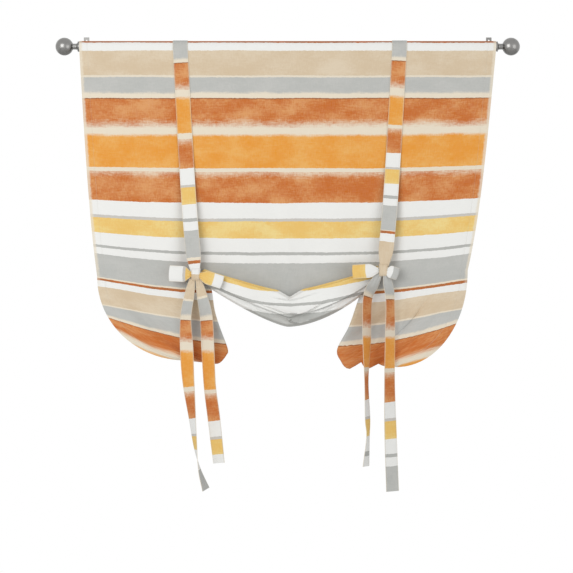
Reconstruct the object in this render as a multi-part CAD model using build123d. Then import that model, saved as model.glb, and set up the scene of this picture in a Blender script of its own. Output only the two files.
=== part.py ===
from build123d import *
from dataclasses import dataclass
import math
import os

# Tie-up curtain on a telescopic rod. X is to the right as seen from the room, the wall is the plane Y = 0,
# the room is on the -Y side and Z is up. The origin is on the wall, midway between the two brackets, level
# with the middle of the rod.

# Rod
outer_tube_d = 25.4
outer_tube_wall = 1.0
inner_tube_wall = 1.0
tube_gap = 0.3
outer_tube_end = 300.0
inner_tube_start = 40.0
rod_projection = 65.0

# Finials
ball_d = 45.5
neck_d = 15.0
neck_length = 8.5
collar_d = 26.4
collar_rim = 2.5
collar_length = 7.0
spigot_length = 28.0
spigot_gap = 0.1
finial_gap = 1.5

# Wall brackets
bracket_width = 14.0
bracket_height = 60.0
bracket_inset = 13.0
plate_t = 2.5
plate_edge_r = 1.2
arm_t = 3.0
cradle_t = 1.6
cradle_gap = 0.3
cradle_lip_angle = 60.0
cradle_back_angle = 80.0
screw_hole_d = 4.5
screw_spacing = 44.0

# Curtain panel: the flat cloth, its pocket, and the height at which it is tied up
curtain_width = 1067.0
cloth_t = 1.2
cloth_gap = 0.3
pocket_depth = 76.0
pocket_end_inset = 24.0
wave_depth = 4.0
wave_length = 178.0
early_draw = 0.75

# Pleats below the tie height
tie_dent = 10.0
tie_dent_width = 34.0
pleat_spans = ((0.0, 1.0), (1.0, 0.06), (0.06, 0.93), (0.93, 0.3))
flap_pleat_gaps = (14.0, 8.0, 8.0)
swag_pleat_gaps = (8.0, 8.0, 8.0)
bunch_pleat_gap = 4.4
bunch_depth = 24.0
bunch_half_width = 22.0
bunch_marks = ((16.5, 45.0), (11.0, 90.0), (-11.0, 90.0), (-16.5, 135.0))
bunch_rise = 10.0
bunch_fold_r = 3.0
bunch_slack = 1.3
swag_fold_r = 5.0
hem_sweep = 70.0
fold_run = 2.0
flap_crowding = 1.7
flap_bunch_from = 0.62
swag_open_by = 0.5

# Facets along the cloth: round the pocket, down the front, into the pleats, along each pleat, round each fold
pocket_facets = 8
drop_facets = 7
turn_facets = 3
first_pleat_facets = 4
pleat_facets = 2
fold_facets = 3
flap_lines = 11
swag_lines = 7

# Ties
tie_width = 38.0
tie_t = 1.2
tie_neck_width = 20.0
front_tie_neck_width = 12.0
under_bunch = 10.5
tail_end_width = 36.0
tail_lean = 7.0
bow_depth = 6.0
bow_stand_off = 1.5
bow_seat = 1.2
bow_waist = 0.45
bow_yaw = 11.0
seam_gap = 0.2
bow_clearance = 2.0
tail_neck_width = 12.0
slack_share = 0.45
taut_share = 0.95
neck_share = 0.82
strap_bend = 3.0
tie_drop_shares = (0, 0.2, 0.4, 0.6, 0.72, 0.84, 0.93, 1)

rod_r = outer_tube_d / 2
inner_tube_d = outer_tube_d - 2 * (outer_tube_wall + tube_gap)
half_width = curtain_width / 2
rod_half = half_width + finial_gap
pocket_r = rod_r + cloth_gap + cloth_t / 2
front_y = -rod_projection - pocket_r
tie_loop_r = pocket_r + cloth_t / 2 + cloth_gap + tie_t / 2
bunch_front_y = front_y + tie_dent - bunch_fold_r - bunch_depth
bunch_front_y -= bunch_pleat_gap / 2 + cloth_t / 2 + bunch_slack
back_tie_front_y = bunch_front_y - cloth_gap - tie_t / 2
front_tie_front_y = back_tie_front_y - tie_t - cloth_gap


# One side of the curtain. Distances out are from the middle of the curtain; drops are below the rod.
@dataclass
class Side:
    name: str
    sign: int
    tie_top_out: float
    tie_out: float
    edge_out: float
    knot_drop: float
    flap_foot: tuple
    swag_curve: float
    bow: tuple
    front_tail: tuple
    back_tail: tuple


# A flap's foot is given from the side hem inward, as steps out from the tie and drops below the rod.
# A bow loop is its length, width and tilt, first the front tie's loop, on the side of its tail.
# A tail is given as steps out from the knot, steps down from it, and the turn of the band.
left = Side(
    name="left",
    sign=-1,
    tie_top_out=275.0,
    tie_out=234.0,
    edge_out=487.0,
    knot_drop=589.0,
    flap_foot=(
        (49, 800),
        (-6, 808),
        (-54, 806),
        (-78, 772),
        (-58, 716),
        (-42, 656),
        (-20, 636),
        (20, 630),
    ),
    swag_curve=1.4,
    bow=((70.0, 34.0, -17.0), (66.0, 40.0, 4.0)),
    front_tail=(
        (-27, 105, 30),
        (-31, 187, 28),
        (-36, 279, 32),
        (-46, 360, 28),
        (-59, 475, 35),
    ),
    back_tail=(
        (25, 105, 42),
        (23, 187, 24),
        (19, 263, 33),
        (9, 355, 58),
        (0, 437, 76),
        (-10, 493, 98),
        (-26, 542, 120),
    ),
)
right = Side(
    name="right",
    sign=1,
    tie_top_out=286.0,
    tie_out=244.0,
    edge_out=460.0,
    knot_drop=574.0,
    flap_foot=(
        (36, 818),
        (-20, 821),
        (-62, 815),
        (-96, 806),
        (-114, 773),
        (-84, 708),
        (-50, 645),
        (-18, 622),
        (20, 614),
    ),
    swag_curve=1.6,
    bow=((44.0, 32.0, -8.0), (74.0, 34.0, 3.0)),
    front_tail=(
        (20, 72, 52),
        (21, 176, 46),
        (20, 291, 42),
        (23, 424, 30),
        (27, 562, 26),
    ),
    back_tail=(
        (-37, 72, 50),
        (-38, 176, 55),
        (-40, 280, 73),
        (-37, 376, 68),
        (-36, 422, 76),
        (-42, 498, 62),
    ),
)

# The swag between the ties: drops of its lower and upper edge at the middle, and what they rise towards a tie
swag_low_drop = 708.0
swag_top_drop = 636.0
swag_low_rise = 98.0
swag_top_rise = 46.0
middle_tie_drop = 582.0


# One line of the cloth from top to bottom: where it passes the tie height, and how it is pleated below that.
@dataclass
class Station:
    sign: int
    out: float
    top_out: float
    dent: float
    tie_drop: float
    drop: float
    fold_r: float
    turn: float
    inward: float
    fall: float
    length: float
    gaps: tuple


def mix(a, b, t):
    return a + (b - a) * t


def ease(t):
    t = min(max(t, 0.0), 1.0)
    return t * t * (3 - 2 * t)


def dent_at(side, out):
    return tie_dent * math.exp(-(((out - side.tie_out) / tie_dent_width) ** 2))


# Flap stations run from the side hem to just outside the tie, and crowd towards the tie.
def flap_station(side, t):
    foot = Spline(*[(step, -drop) for step, drop in side.flap_foot]) @ t
    start = side.tie_out + bunch_half_width
    out = mix(side.edge_out, start, 1 - (1 - t) ** flap_crowding)
    top_share = (out - side.tie_out) / (side.edge_out - side.tie_out)
    inward = out - (side.tie_out + foot.X)
    fall = -foot.Y - side.knot_drop
    bunched = ease((t - flap_bunch_from) / (1 - flap_bunch_from))
    return Station(
        sign=side.sign,
        out=out,
        top_out=mix(side.tie_top_out, half_width, top_share),
        dent=dent_at(side, out),
        tie_drop=side.knot_drop,
        drop=side.knot_drop,
        fold_r=bunch_fold_r,
        turn=0.0,
        inward=inward,
        fall=fall,
        length=math.hypot(inward, fall),
        gaps=tuple(mix(gap, bunch_pleat_gap, bunched) for gap in flap_pleat_gaps),
    )


# In the tie the pleats lie level, one below the other. Outside it they hang behind, inside it in front.
def bunch_station(side, step, turn):
    out = side.tie_out + step
    return Station(
        sign=side.sign,
        out=out,
        top_out=side.tie_top_out + step,
        dent=dent_at(side, out),
        tie_drop=side.knot_drop,
        drop=side.knot_drop - bunch_rise,
        fold_r=bunch_fold_r,
        turn=turn,
        inward=0.0,
        fall=bunch_depth,
        length=bunch_depth,
        gaps=(bunch_pleat_gap,) * 3,
    )


def swag_station(side, t):
    reach = side.tie_out - bunch_half_width
    out = reach * (1 - t)
    share = out / reach
    low = swag_low_drop - swag_low_rise * share**side.swag_curve
    top = swag_top_drop - swag_top_rise * share**side.swag_curve
    opened = ease(t / swag_open_by)
    return Station(
        sign=side.sign,
        out=out,
        top_out=side.tie_top_out * out / side.tie_out,
        dent=dent_at(side, out),
        tie_drop=mix(side.knot_drop, middle_tie_drop, ease(t)),
        drop=low - mix(bunch_fold_r, swag_fold_r, opened),
        fold_r=mix(bunch_fold_r, swag_fold_r, opened),
        turn=180.0,
        inward=0.0,
        fall=low - top,
        length=low - top,
        gaps=tuple(mix(bunch_pleat_gap, gap, opened) for gap in swag_pleat_gaps),
    )


def stations(side):
    flap = [flap_station(side, i / (flap_lines - 1)) for i in range(flap_lines)]
    bunch = [bunch_station(side, step, turn) for step, turn in bunch_marks]
    swag = [swag_station(side, i / (swag_lines - 1)) for i in range(swag_lines)]
    return flap + bunch + swag


# The pleats of one line, flattened out: distances along them, and steps from one pleat to the next.
def pleat_points(station):
    points = []
    step = 0.0
    for index, (start, end) in enumerate(pleat_spans):
        way = 1 if end > start else -1
        samples = first_pleat_facets if index == 0 else pleat_facets
        for i in range(samples):
            points.append((station.length * mix(start, end, (i + 0.5) / samples), step))
        if index < len(station.gaps):
            r = station.gaps[index] / 2
            for i in range(fold_facets + 1):
                a = math.pi * i / fold_facets
                points.append((station.length * end + way * r * math.sin(a), step + r * (1 - math.cos(a))))
            step += station.gaps[index]
    points.append((station.length * pleat_spans[-1][1], step))
    return points


# How far a line is drawn in between the pocket and the tie.
def drawn_in(f):
    f = min(f, 1.0)
    return early_draw * f + (1 - early_draw) * f**4


def out_at(station, drop):
    return mix(station.top_out, station.out, drawn_in(drop / station.tie_drop))


def main_y(station, drop):
    f = min(drop / station.tie_drop, 1.0)
    wave = wave_depth * math.sin(2 * math.pi * station.top_out / wave_length)
    return front_y + (station.dent + wave * (1 - station.dent / tie_dent)) * f**2


def pocket_points(station):
    points = []
    back_out = min(station.top_out, half_width - pocket_end_inset)
    points.append(Vector(station.sign * back_out, -rod_projection + pocket_r, -pocket_depth))
    for i in range(pocket_facets + 1):
        a = math.pi * i / pocket_facets
        out = mix(back_out, station.top_out, ease(2 * i / pocket_facets))
        y = -rod_projection + pocket_r * math.cos(a)
        points.append(Vector(station.sign * out, y, pocket_r * math.sin(a)))
    return points


def drop_points(station):
    points = []
    for i in range(1, drop_facets + 1):
        drop = station.drop * i / drop_facets
        points.append(Vector(station.sign * out_at(station, drop), main_y(station, drop), -drop))
    return points


# The pleats in place: they hang behind the front at a turn of 0, and in front of it at a turn of 180 degrees.
def gathered_points(station):
    points = []
    turn = math.radians(station.turn)
    top = main_y(station, station.drop)
    straight = fold_run * (1 - station.turn / 180)
    for i in range(1, turn_facets + 1):
        a = turn * i / turn_facets
        down = station.drop + station.fold_r * math.sin(a) + straight * i / turn_facets
        points.append(Vector(station.sign * station.out, top - station.fold_r * (1 - math.cos(a)), -down))
    start = points[-1]
    sweep = math.radians(hem_sweep)
    for a, n in pleat_points(station):
        share = a / station.length
        bend = sweep * share
        inward = station.inward * (1 - math.cos(bend)) / (1 - math.cos(sweep))
        fall = station.fall * (math.sin(bend) / math.sin(sweep) if station.turn == 0 else share)
        y = start.Y + n * math.cos(turn) - fall * math.sin(turn)
        z = start.Z - n * math.sin(turn) - fall * math.cos(turn)
        points.append(Vector(station.sign * (station.out - inward), y, z))
    return points


def cloth_line(station):
    return pocket_points(station) + drop_points(station) + gathered_points(station)


def surface_normal(grid, i, j):
    across = grid[min(i + 1, len(grid) - 1)][j] - grid[max(i - 1, 0)][j]
    down = grid[i][min(j + 1, len(grid[i]) - 1)] - grid[i][max(j - 1, 0)]
    return across.cross(down).normalized()


def facets(a, b, c, d):
    return [Face(Polyline(a, b, c, close=True)), Face(Polyline(a, c, d, close=True))]


# A cloth solid from lines of points on its middle surface: facets on both sides, and a rim between them.
def cloth_solid(grid, thickness):
    upper = []
    lower = []
    for i, line in enumerate(grid):
        offsets = [surface_normal(grid, i, j) * (thickness / 2) for j in range(len(line))]
        upper.append([point + offset for point, offset in zip(line, offsets)])
        lower.append([point - offset for point, offset in zip(line, offsets)])
    last_line = len(grid) - 1
    last_point = len(grid[0]) - 1
    faces = []
    for i in range(last_line):
        for j in range(last_point):
            for sheet in (upper, lower):
                faces += facets(sheet[i][j], sheet[i + 1][j], sheet[i + 1][j + 1], sheet[i][j + 1])
    for j in range(last_point):
        for i in (0, last_line):
            faces += facets(upper[i][j], upper[i][j + 1], lower[i][j + 1], lower[i][j])
    for i in range(last_line):
        for j in (0, last_point):
            faces += facets(upper[i][j], upper[i + 1][j], lower[i + 1][j], lower[i][j])
    return Solid(Shell(faces))


def curtain_panel():
    lines = [cloth_line(s) for s in stations(left)]
    lines += [cloth_line(s) for s in reversed(stations(right)[:-1])]
    return cloth_solid(lines, cloth_t)


# A band of cloth that follows a path. Each mark is a point, half the band's width there, and the band's turn
# about the vertical, where 0 lies flat to the room.
def band(marks, thickness):
    sections = []
    for index, (point, half, turn) in enumerate(marks):
        before = marks[max(index - 1, 0)][0]
        after = marks[min(index + 1, len(marks) - 1)][0]
        way = (after - before).normalized()
        across = Vector(math.cos(math.radians(turn)), math.sin(math.radians(turn)), 0)
        across = (across - way * across.dot(way)).normalized()
        face = way.cross(across).normalized() * (thickness / 2)
        edge = across * half
        corners = (point - edge - face, point + edge - face, point + edge + face, point - edge + face)
        sections.append(Wire.make_polygon(corners, close=True))
    return Solid.make_loft(sections, ruled=True)


def knot_point(side, y):
    return Vector(side.sign * side.tie_out, y, -side.knot_drop)


# A loop of the bow: a flattened ring of band that springs from the knot and widens away from it.
def bow_loop(side, way, shape, root, y):
    length, width, tilt = shape
    ring = Ellipse(length / 2, bow_depth) - Ellipse(length / 2 - tie_t, bow_depth - tie_t)
    loop = extrude(Pos(length / 2, 0) * ring, width, both=True)
    waist = length * bow_waist
    fan = Polyline(
        (-tie_t, -tie_neck_width / 2),
        (waist, -width / 2),
        (length + tie_t, -width / 2),
        (length + tie_t, width / 2),
        (waist, width / 2),
        (-tie_t, tie_neck_width / 2),
        close=True,
    )
    loop = loop & extrude(Plane.XZ * make_face(fan), 2 * bow_depth, both=True)
    if way < 0:
        loop = loop.mirror(Plane.YZ)
    loop = loop.rotate(Axis.Z, -way * bow_yaw).rotate(Axis.Y, -way * tilt)
    return loop.translate(knot_point(side, y) + Vector(way * root, 0, 0))


# The hanging end of a tie, from the knot down.
def tail_marks(side, tail, y):
    start = knot_point(side, y)
    length = tail[-1][1]
    marks = []
    for step, drop, turn in tail:
        half = mix(tie_width, tail_end_width, drop / length) / 2
        lean = tail_lean * drop / length - half * abs(math.sin(math.radians(turn)))
        point = Vector(start.X + side.sign * step, y + lean, start.Z - drop)
        marks.append((point, half, side.sign * turn))
    return marks


def tie_top_marks(side, way):
    marks = []
    for i in range(pocket_facets // 2):
        a = math.pi * i / pocket_facets
        y = -rod_projection + way * (seam_gap + tie_loop_r * math.sin(a))
        point = Vector(side.sign * side.tie_top_out, y, tie_loop_r * math.cos(a))
        marks.append((point, tie_width / 2, 0.0))
    return marks


def tie_drop_marks(side, y_start, y_end, neck):
    marks = []
    for f in tie_drop_shares:
        out = mix(side.tie_top_out, side.tie_out, drawn_in(f))
        y = mix(y_start, y_end, ease((f - slack_share) / (taut_share - slack_share)))
        half = mix(tie_width, neck, ease((f - neck_share) / (1 - neck_share))) / 2
        marks.append((Vector(side.sign * out, y, -side.knot_drop * f), half, 0.0))
    return marks


# The front tie: sewn on top of the pocket, down the front to the knot, one bow loop and one hanging end.
def front_tie(side):
    marks = tie_top_marks(side, -1)
    top_y = -rod_projection - tie_loop_r
    marks += tie_drop_marks(side, top_y, front_tie_front_y, front_tie_neck_width)
    marks += tail_marks(side, side.front_tail, front_tie_front_y)
    root = front_tie_neck_width / 2 - bow_seat
    way = math.copysign(1, side.front_tail[0][0])
    loop = bow_loop(side, side.sign * way, side.bow[0], root, front_tie_front_y - bow_stand_off)
    return band(marks, tie_t) + loop


# The back tie: down the back, under the bunched cloth, up to the knot, the other loop and hanging end.
def back_tie(side):
    marks = tie_top_marks(side, 1)
    top_y = -rod_projection + tie_loop_r
    behind_y = front_y + tie_dent + cloth_t / 2 + cloth_gap + tie_t / 2
    marks += tie_drop_marks(side, top_y, behind_y, tie_neck_width)
    x = side.sign * side.tie_out
    half = tie_neck_width / 2
    low = -side.knot_drop - under_bunch
    marks.append((Vector(x, behind_y, low + strap_bend), half, 0.0))
    marks.append((Vector(x, behind_y - strap_bend, low), half, 0.0))
    marks.append((Vector(x, back_tie_front_y + strap_bend, low), half, 0.0))
    marks.append((Vector(x, back_tie_front_y, low + strap_bend), half, 0.0))
    marks.append((Vector(x, back_tie_front_y, -side.knot_drop + half), half, 0.0))
    root = front_tie_neck_width / 2 + bow_clearance
    way = math.copysign(1, side.back_tail[0][0])
    loop = bow_loop(side, side.sign * way, side.bow[1], root, back_tie_front_y - bow_stand_off)
    aside = way * (front_tie_neck_width / 2 + cloth_gap + tail_neck_width / 2)
    tail_top = knot_point(side, back_tie_front_y) + Vector(side.sign * aside, 0, 0)
    tail = [(tail_top, tail_neck_width / 2, 0.0)] + tail_marks(side, side.back_tail, back_tie_front_y)
    return band(marks, tie_t) + loop + band(tail, tie_t)


def rod_tube(diameter, wall, start, end):
    ring = Circle(diameter / 2) - Circle(diameter / 2 - wall)
    tube = extrude(Plane.YZ.offset(start) * ring, end - start)
    return tube.translate((0, -rod_projection, 0))


# A turned finial, drawn as half its outline along the rod. Its collar meets the tube's end at zero.
def finial(tube_bore, sign):
    spigot_r = tube_bore / 2 - spigot_gap
    neck_end = collar_length + neck_length
    ball_x = neck_end + math.sqrt(ball_d**2 - neck_d**2) / 2
    tip = (ball_x + ball_d / 2, 0)
    with BuildPart() as body:
        with BuildSketch():
            with BuildLine():
                Polyline((-spigot_length, 0), (-spigot_length, spigot_r), (0, spigot_r), (0, collar_d / 2))
                Line((0, collar_d / 2), (collar_rim, collar_d / 2))
                TangentArc((collar_rim, collar_d / 2), (collar_length, neck_d / 2), tangent=(0, -1))
                Line((collar_length, neck_d / 2), (neck_end, neck_d / 2))
                ThreePointArc((neck_end, neck_d / 2), (ball_x, ball_d / 2), tip)
                Line(tip, (-spigot_length, 0))
            make_face()
        revolve(axis=Axis.X)
    turned = body.part
    if sign < 0:
        turned = turned.mirror(Plane.YZ)
    return turned.translate((sign * rod_half, -rod_projection, 0))


# A wall bracket: a plate with two screw holes, an arm, and an open cradle that the tube lies in.
def wall_bracket(tube_d, sign):
    inner = tube_d / 2 + cradle_gap
    outer = inner + cradle_t
    plate = Pos(-plate_t / 2, 0) * RectangleRounded(plate_t, bracket_height, plate_edge_r)
    cradle_end = math.radians(90 - cradle_back_angle)
    arm_length = rod_projection - outer * math.cos(cradle_end) + cradle_t / 2 - plate_t / 2
    arm_z = -outer * math.sin(cradle_end) - arm_t / 2
    arm = Pos(-plate_t / 2 - arm_length / 2, arm_z) * Rectangle(arm_length, arm_t)
    lip = math.radians(-90 - cradle_lip_angle)
    back = math.radians(-90 + cradle_back_angle)
    reach = 2 * outer
    below = Polyline(
        (0, 0),
        (reach * math.cos(lip), reach * math.sin(lip)),
        (-reach, -reach),
        (reach, -reach),
        (reach * math.cos(back), reach * math.sin(back)),
        close=True,
    )
    ring = Circle(outer) - Circle(inner)
    cradle = Pos(-rod_projection, 0) * (ring & make_face(below))
    profile = Plane.YZ * (plate + arm + cradle)
    x = sign * (half_width - bracket_inset)
    strip = extrude(profile, bracket_width / 2, both=True)
    for z in (-screw_spacing / 2, screw_spacing / 2):
        strip -= Pos(0, 0, z) * Rot(90, 0, 0) * Cylinder(screw_hole_d / 2, 4 * plate_t)
    return strip.translate((x, 0, 0))


def parts():
    outer_bore = outer_tube_d - 2 * outer_tube_wall
    inner_bore = inner_tube_d - 2 * inner_tube_wall
    made = {
        "curtain_panel": curtain_panel(),
        "rod_outer_tube": rod_tube(outer_tube_d, outer_tube_wall, -rod_half, outer_tube_end),
        "rod_inner_tube": rod_tube(inner_tube_d, inner_tube_wall, inner_tube_start, rod_half),
    }
    for side, tube_d, tube_bore in ((left, outer_tube_d, outer_bore), (right, inner_tube_d, inner_bore)):
        made[f"{side.name}_front_tie"] = front_tie(side)
        made[f"{side.name}_back_tie"] = back_tie(side)
        made[f"{side.name}_finial"] = finial(tube_bore, side.sign)
        made[f"{side.name}_wall_bracket"] = wall_bracket(tube_d, side.sign)
    return made


if __name__ == "__main__":
    os.makedirs("parts", exist_ok=True)
    for name, shape in parts().items():
        export_step(shape, f"parts/{name}.step")
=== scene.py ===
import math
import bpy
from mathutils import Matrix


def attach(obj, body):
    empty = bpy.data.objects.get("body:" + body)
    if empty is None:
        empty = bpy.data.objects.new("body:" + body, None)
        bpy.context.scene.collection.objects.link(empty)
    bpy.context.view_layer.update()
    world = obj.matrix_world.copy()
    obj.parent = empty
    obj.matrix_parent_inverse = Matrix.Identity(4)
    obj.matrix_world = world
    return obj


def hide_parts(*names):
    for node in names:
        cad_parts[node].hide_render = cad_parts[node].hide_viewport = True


bl_info = {
    "name": "Tie-up curtain",
    "version": (1, 0, 0),
    "blender": (4, 5, 0),
    "location": "View3D > Sidebar > Curtain",
    "description": "Striped tie-up curtain with bows on a telescopic rod",
    "category": "Object",
}

from dataclasses import dataclass
from types import SimpleNamespace

import bmesh
import bpy
import numpy as np
from bpy.props import FloatProperty, FloatVectorProperty, PointerProperty
from mathutils import Vector

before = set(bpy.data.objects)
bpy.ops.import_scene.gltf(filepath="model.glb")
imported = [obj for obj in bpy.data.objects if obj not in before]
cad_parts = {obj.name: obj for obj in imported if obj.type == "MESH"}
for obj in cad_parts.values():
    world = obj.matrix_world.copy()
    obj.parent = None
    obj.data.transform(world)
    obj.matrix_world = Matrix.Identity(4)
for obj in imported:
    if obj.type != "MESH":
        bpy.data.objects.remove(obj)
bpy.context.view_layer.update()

MM = 0.001

# The rod, the flat cloth and the height at which it is tied up, in millimetres, as in the frame
ROD_R = 12.7
ROD_PROJECTION = 65.0
CLOTH_GAP = 0.3
CURTAIN_WIDTH = 1067.0
HALF_WIDTH = CURTAIN_WIDTH / 2
POCKET_DEPTH = 76.0
POCKET_END_INSET = 24.0
WAVE_DEPTH = 4.0
WAVE_LENGTH = 178.0

# How the cloth is drawn in towards the ties on its way down: a part of it evenly, the rest late
EARLY_DRAW = 0.75
LATE_DRAW = 4

# Where the cloth goes below the tie height. A bunch mark is a step from the tie and how far the cloth has turned
# there, in degrees, from hanging down as the flap to folding back up as the swag.
TIE_DENT = 10.0
TIE_DENT_WIDTH = 34.0
PLEAT_SPANS = ((0.0, 1.0), (1.0, 0.06), (0.06, 0.93), (0.93, 0.3))
FLAP_PLEAT_GAPS = (14.0, 8.0, 8.0)
SWAG_PLEAT_GAPS = (8.0, 8.0, 8.0)
BUNCH_PLEAT_GAP = 4.4
BUNCH_DEPTH = 24.0
BUNCH_HALF_WIDTH = 22.0
BUNCH_SHOULDER = 16.5
BUNCH_CORE = 11.0
BUNCH_MARKS = (
    (BUNCH_HALF_WIDTH, 0.0), (BUNCH_SHOULDER, 45.0), (BUNCH_CORE, 90.0),
    (-BUNCH_CORE, 90.0), (-BUNCH_SHOULDER, 135.0), (-BUNCH_HALF_WIDTH, 180.0),
)
BUNCH_TUCK = 10.0
BUNCH_RISE = 10.0
BUNCH_FOLD_R = 3.0
BUNCH_SLACK = 1.3
SWAG_FOLD_R = 5.0
FOLD_RUN = 2.0
INNER_SWEEP = math.radians(22.0)
INNER_FROM = 0.26
FLAP_CROWDING = 1.7
FLAP_BUNCH_FROM = 0.62
SWAG_OPEN_BY = 0.5
SWAG_LOW_DROP = 717.0
SWAG_TOP_DROP = 636.0
SWAG_LOW_RISE = 107.0
SWAG_TOP_RISE = 60.0
SWAG_TOP_CURVE = 1.35
MIDDLE_TIE_DROP = 582.0

# The ties: the band, and how it goes taut and narrow towards the knot. A hanging end starts so far down and back (with
# a minus, forward) at that half width. At a share of its first step it opens out: so far back, its half width there
# and its share of the turn.
TIE_WIDTH = 38.0
TIE_NECK_WIDTH = 20.0
FRONT_TIE_NECK_WIDTH = 21.0
TAIL_END_WIDTH = 36.0
TAIL_LEAN = 7.0
UNDER_BUNCH = 10.5
BOW_DEPTH = 6.0
BOW_WAIST = 0.45
BOW_YAW = math.radians(11.0)
SLACK_SHARE = 0.45
TAUT_SHARE = 0.95
NECK_SHARE = 0.9
SEAM_GAP = 0.2
UNDER_BEND = 3.0
KNOT_CLOTH = 40
TAIL_START = (6.0, -1.0, 6.5)
TAIL_OPENING = (0.42, -3.0, 13.0, 0.45)
STRAP_GATHER = 0.5
TAIL_GATHER = 2.0
GATHER_WAVES = 2.5

# The front and the back tie: its way over the rod, its width at the knot, the points along its strap, its loop and
# where that springs from, and how far aside and forward its hanging end starts
FRONT = SimpleNamespace(
    name="front", way=-1, neck=FRONT_TIE_NECK_WIDTH, points=120, loop=0, root=4.8, aside=6.0, forward=0.9
)
BACK = SimpleNamespace(name="back", way=1, neck=TIE_NECK_WIDTH, points=150, loop=1, root=8.0, aside=9.0, forward=0.6)

# A loop of the bow: how far it lies forward, how flat it is, its width at the knot, its puckers there, its hollow,
# its rounded end and its thin sides
LOOP_FORWARD = 1.5
LOOP_FLATNESS = 0.86
LOOP_ROOT_WIDTH = TIE_NECK_WIDTH * 0.55
LOOP_PUCKER = 1.5
LOOP_PUCKER_WAVES = 3.0
LOOP_CUP = 1.2
LOOP_ROUND_END = 2.0
LOOP_THIN_SIDE = 0.25

# The piece over the knot: half its height and width, how it bulges, widens, is pleated and rounds off
KNOT_HALF_HEIGHT = 15.0
KNOT_HALF_WIDTH = 10.8
KNOT_FLARE = 1.4
KNOT_BULGE = 9.0
KNOT_BULGE_POWER = 0.7
KNOT_PLEAT = 0.9
KNOT_PLEAT_WAVES = 2.0
KNOT_PLEAT_LEAST = 0.4
KNOT_ROUND_SIDE = 3.6
KNOT_SEAT = 1.0
KNOT_PRINT_BACK = 6.0

# How finely the cloth is drawn: lines across it, and points along each line
FLAP_LINES = 66
BUNCH_LINES = 5
SWAG_LINES = 48
POCKET_POINTS = 14
DROP_POINTS = 42
TURN_POINTS = 4
PLEAT_POINTS = (20, 8, 16, 28)
FOLD_POINTS = 6
CURVE_STEPS = 24
BAND_LINES = 9
TOP_MARKS = 8
DROP_MARKS = 40
TAIL_POINTS = 90
LOOP_GRID = (13, 40)
KNOT_GRID = (11, 26)
SMOOTH_ANGLE = math.radians(50)

# The print: where each stripe starts below the top of the repeat, in millimetres, its colour and its worn colour
REPEAT = 647.0
REPEAT_START = -2.6
STRIPES = (
    (0.0, "rust_dark", "rust"),
    (7.0, "white", "white"),
    (26.2, "beige", "beige_pale"),
    (90.3, "cream", "cream"),
    (95.0, "grey", "grey_pale"),
    (137.0, "cream", "cream"),
    (146.6, "rust_edge", "rust_dark"),
    (149.6, "rust", "rust_pale"),
    (224.0, "cream", "cream"),
    (239.6, "orange", "orange_pale"),
    (327.0, "cream", "cream"),
    (338.6, "rust", "rust_pale"),
    (415.6, "white", "white"),
    (457.0, "line_pale", "grey_pale"),
    (464.0, "yellow", "yellow_pale"),
    (507.0, "white", "white"),
    (541.6, "line_grey", "grey"),
    (548.6, "white", "white"),
    (569.6, "grey", "grey_pale"),
    (641.0, "cream", "cream"),
)

# Where the paint thins out and the cream cloth shows: distances along the stripes, and how bare the cloth is
THIN_PAINT = (
    (0.0, 0.0), (130.0, 0.0), (141.0, 1.0), (146.5, 1.0), (146.7, 0.0), (196.0, 0.0), (232.0, 1.0),
    (238.0, 1.0), (251.0, 0.0), (338.5, 0.0), (338.7, 0.6), (362.0, 0.0),
)

# Patterns on the cloth: how fine they are across it and along it, per millimetre, a seed, detail and roughness
PATTERNS = {
    "ragged": (0.11, 0.11, 0.0, 3.0, 0.5),
    "waver": (0.006, 0.02, 0.0, 1.0, 0.5),
    "stroke": (0.06, 0.26, 0.0, 5.0, 0.7),
    "fibre": (0.30, 0.09, 5.0, 4.0, 0.7),
    "patch": (0.012, 0.020, 7.0, 3.0, 0.5),
    "slub_down": (0.9, 0.04, 0.0, 2.0, 0.5),
    "slub_across": (0.04, 0.9, 3.0, 2.0, 0.5),
    "rumple": (0.035, 0.035, 11.0, 3.0, 0.55),
}

# The paint and the threads: how far the stripes' edges are ragged and waver, from which grain the paint is worn or
# bald, how bare the side hems are and down to where, and the pitch of the threads and the stitches
RAGGED_EDGE = 3.2
WAVERING_EDGE = 5.0
WORN_FROM = (0.70, 1.06)
BALD_FROM = (0.12, 0.95)
BARE_HEM = 0.72
BARE_HEM_ENDS = (600.0, 700.0)
PANEL_MARGIN = 10.0
TIE_MARGIN = 1.2
HEM_STITCH_INSET = 3.0
TIE_STITCH_INSET = 2.6
THREAD_PITCH = 1.15
STITCH_PITCH = 3.2
REVERSE_FADE = 0.4

# Fine lines in the metal, per metre along x, y and z
TURNED_LINES = (1400.0, 0.0, 0.0)
PRESSED_GRAIN = (900.0, 40.0, 40.0)

# Where the stripes lie on a flap: the print's distance at the start of the white, beige, grey, rust, cream and orange
# stripes, how high and how much of the print the cream line above the rust is, and how both go on below
FLAP_PLACES = (647.0, 673.2, 742.0, 793.6, 866.0, 891.0)
FLAP_STRIP = 5.0
FLAP_STRIP_PRINT = 9.6
FLAP_DROP_BELOW = 200.0
FLAP_PRINT_BELOW = 220.0

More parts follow.
